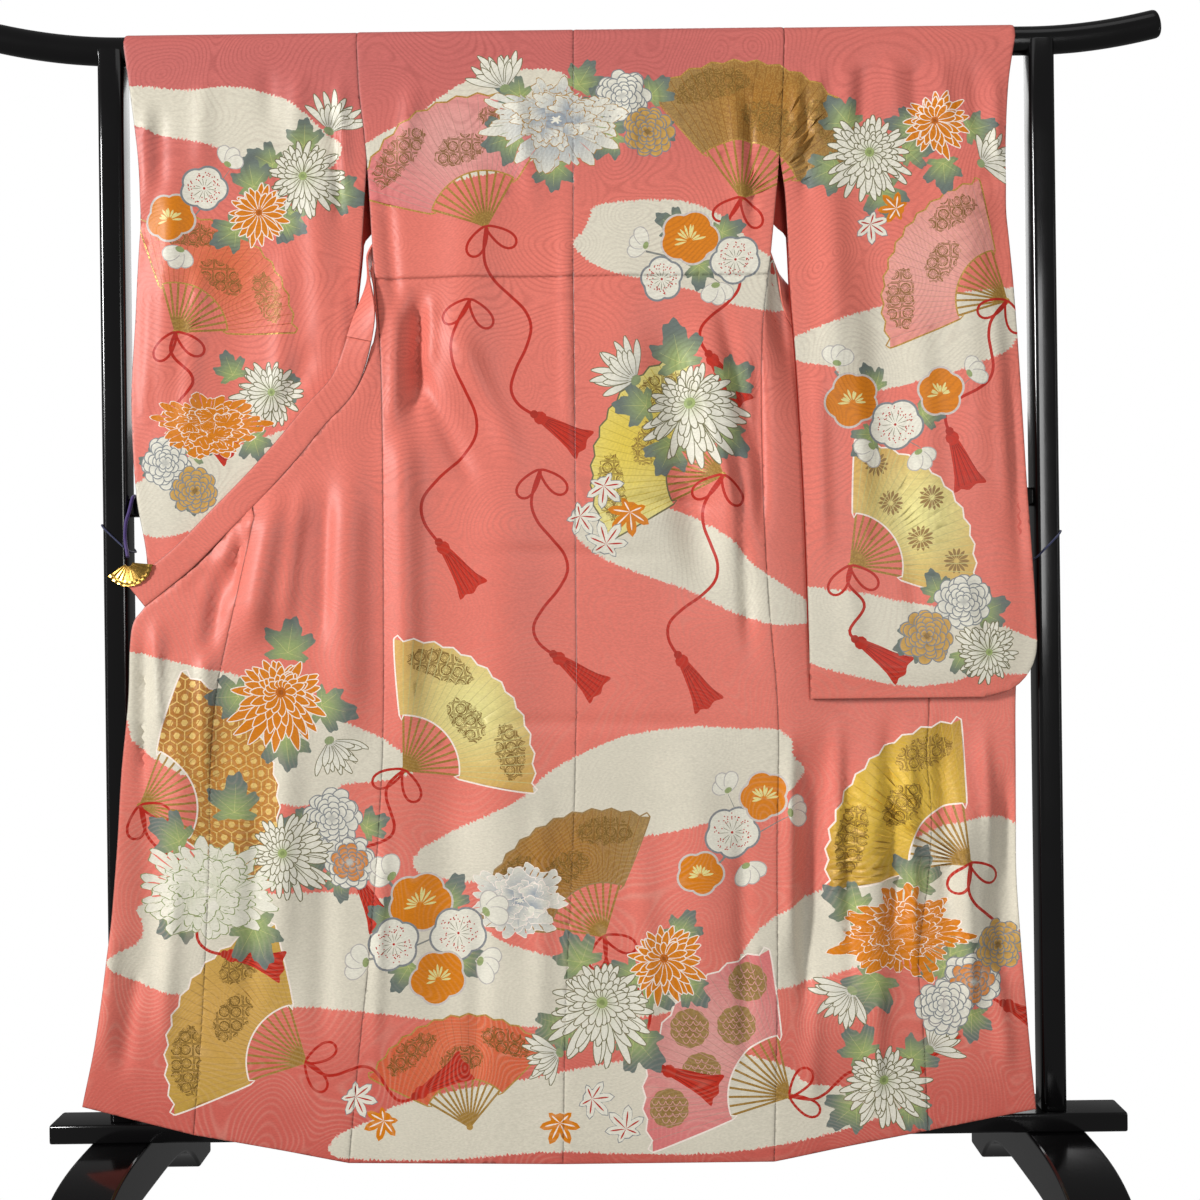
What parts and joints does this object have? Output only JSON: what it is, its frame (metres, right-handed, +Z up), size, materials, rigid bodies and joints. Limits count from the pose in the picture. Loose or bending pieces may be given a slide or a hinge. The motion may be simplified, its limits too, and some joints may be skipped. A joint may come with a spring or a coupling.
{
  "type": "furisode kimono on a kimono stand",
  "caption": "Long-sleeved formal silk kimono hung back outwards with spread fronts on a black lacquered wooden kimono stand.",
  "frame": {"origin": "floor level under the middle of the stand", "axes": "+Z up, +X along the bar of the stand towards the wearer's right sleeve, -Y the side that shows the back of the garment"},
  "size_m": [1.754, 0.57, 1.8127],
  "materials": {
    "silk": "figured silk with a soft sheen, painted and gilt pattern",
    "lacquer": "gloss black lacquer on wood",
    "gilt": "polished",
    "violet_cord": "braided",
    "navy_cord": "braided"
  },
  "bodies": {
    "root": {"back_left": "silk", "back_right": "silk", "front_left": "silk", "front_right": "silk", "front_left_shoulder": "silk", "front_right_shoulder": "silk", "overlap_left": "silk", "overlap_right": "silk", "sleeve_left_back": "silk", "sleeve_left_front": "silk", "sleeve_right_back": "silk", "sleeve_right_front": "silk", "collar_neck": "silk", "collar_left": "silk", "collar_right": "silk", "stand_bar": "lacquer", "stand_rail": "lacquer", "stand_sill": "lacquer", "stand_post_left": "lacquer", "stand_post_right": "lacquer", "stand_foot_left": "lacquer", "stand_foot_right": "lacquer", "clip_fan": "gilt", "clip_cord": "violet_cord", "tie_left": "navy_cord", "tie_right": "navy_cord"}
  },
  "joints": []
}
